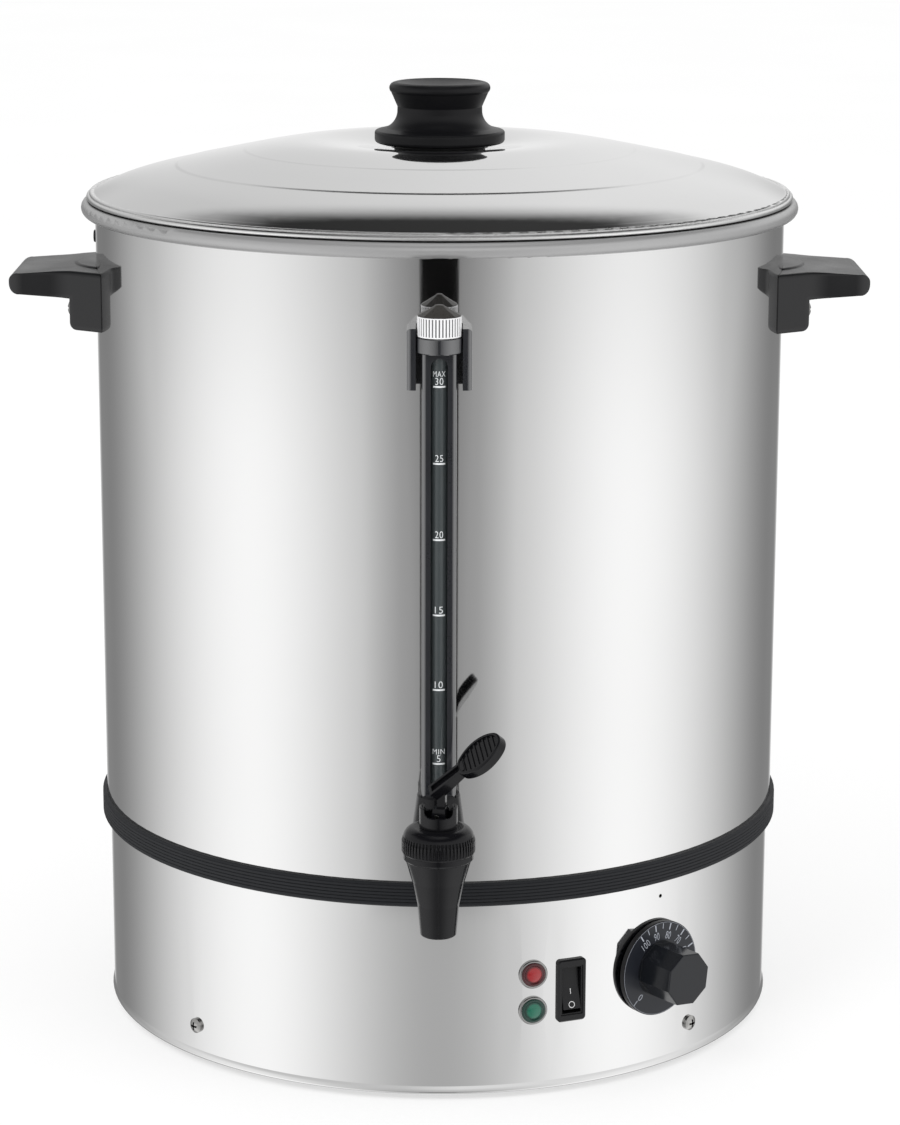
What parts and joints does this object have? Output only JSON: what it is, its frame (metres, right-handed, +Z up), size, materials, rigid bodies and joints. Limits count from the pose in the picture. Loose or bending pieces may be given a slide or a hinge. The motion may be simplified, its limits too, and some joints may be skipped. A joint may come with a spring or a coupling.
{
  "type": "electric catering water boiler",
  "caption": "Polished steel catering boiler with stepped lid, two side grips, lever tap with sight gauge, dial, rocker switch and lamps.",
  "frame": {"origin": "on the tank's axis, at the floor", "axes": "+Z up, -Y to the front where the tap is, +X to the viewer's right"},
  "size_m": [0.4928, 0.4849, 0.542],
  "materials": {
    "polished_steel": "polished stainless steel",
    "plain_steel": "plain stainless sheet",
    "black_band": "moulded black, fine ribs",
    "grip_plastic": "moulded black, satin",
    "knob_plastic": "moulded black, satin",
    "plug_plastic": "black",
    "tap_plastic": "moulded black, fine grain",
    "gauge_plastic": "dark grey, satin",
    "gauge_tip_plastic": "dark, smooth",
    "white_plastic": "white, knurled",
    "clear_tube": "clear with printed marks",
    "dial_plastic": "black with pale markings",
    "switch_plastic": "black",
    "red_lens": "red, frosted inside",
    "green_lens": "green, frosted inside",
    "lamp_trim": "polished",
    "retainer_steel": "spring steel",
    "screw_steel": "bright steel",
    "foot_rubber": "black",
    "silicone": "translucent white silicone",
    "gland_plastic": "black nylon",
    "spreader_aluminium": "plain",
    "element_steel": "dark sheath",
    "inner_plastic": "heat-resistant moulding",
    "copper": "plain copper"
  },
  "bodies": {
    "boiler": {"tank_shell": "polished_steel", "base_skirt": "polished_steel", "tank_floor": "plain_steel", "base_plate": "plain_steel", "seam_band": "black_band", "left_handle_grip": "grip_plastic", "right_handle_grip": "grip_plastic", "rim_plug": "plug_plastic", "tap_body": "tap_plastic", "tap_bonnet": "tap_plastic", "gauge_shield": "gauge_plastic", "gauge_collar": "gauge_plastic", "gauge_bracket": "gauge_plastic", "gauge_tip": "gauge_tip_plastic", "gauge_cap": "white_plastic", "gauge_tube": "clear_tube", "switch_frame": "switch_plastic", "red_lamp": "red_lens", "green_lamp": "green_lens", "lamp_bezels": "lamp_trim", "lamp_retainers": "retainer_steel", "skirt_screws": "screw_steel", "foot_screws": "screw_steel", "handle_screws": "screw_steel", "handle_nuts": "screw_steel", "thermostat_screws": "screw_steel", "bracket_screw": "screw_steel", "bracket_nut": "screw_steel", "rubber_feet": "foot_rubber", "wall_seals": "silicone", "tap_seals": "silicone", "bonnet_seal": "silicone", "gauge_seals": "silicone", "gland_seal": "silicone", "cable_gland": "gland_plastic", "gland_nut": "gland_plastic", "gland_locknut": "gland_plastic", "tap_locknut": "gland_plastic", "heat_spreader": "spreader_aluminium", "heating_element": "element_steel", "thermostat_body": "inner_plastic", "thermal_cutout": "inner_plastic", "terminal_block": "inner_plastic", "thermostat_bulb": "copper", "capillary_tube": "copper"},
    "lid": {"lid_shell": "polished_steel", "lid_knob": "knob_plastic", "lid_screw": "screw_steel", "lid_washer": "screw_steel"},
    "dial": {"thermostat_knob": "dial_plastic", "thermostat_shaft": "screw_steel"},
    "rocker": {"switch_rocker": "switch_plastic"},
    "turret": {"lever_turret": "tap_plastic", "turret_clip": "retainer_steel", "valve_spring": "retainer_steel"},
    "stem": {"valve_stem": "screw_steel", "seat_cup": "silicone"},
    "lever": {"tap_lever": "tap_plastic", "lever_pin": "screw_steel"}
  },
  "joints": [
    {"name": "lid_lift", "type": "slide", "parent": "boiler", "child": "lid", "axis": [0, 0, 1], "range_m": [0, 0.25]},
    {"name": "dial_turn", "type": "hinge", "parent": "boiler", "child": "dial", "pos_m": [0.12175, -0.1536, 0.0631], "axis": [0.6211, -0.7837, 0], "range_deg": [-38, 226]},
    {"name": "rocker_press", "type": "hinge", "parent": "boiler", "child": "rocker", "pos_m": [0.07124, -0.17722, 0.0599], "axis": [0.9278, 0.373, 0], "range_deg": [0, 22]},
    {"name": "lever_swivel", "type": "hinge", "parent": "boiler", "child": "turret", "pos_m": [0, -0.2495, 0.17], "axis": [0, 0, 1], "range_deg": [-152, 0]},
    {"name": "stem_lift", "type": "slide", "parent": "turret", "child": "stem", "axis": [0, 0, 1], "range_m": [0, 0.0031], "deforming": ["valve_spring"]},
    {"name": "lever_tilt", "type": "hinge", "parent": "stem", "child": "lever", "pos_m": [0, -0.2495, 0.1815], "axis": [0.2419, 0.9703, 0], "range_deg": [0, 35], "stiffness_Nm_per_rad": 0.3, "springref_deg": -5.73}
  ],
  "couplings": [
    {"joint": "stem_lift", "follows": "lever_tilt", "m_per_rad": 0.005}
  ]
}
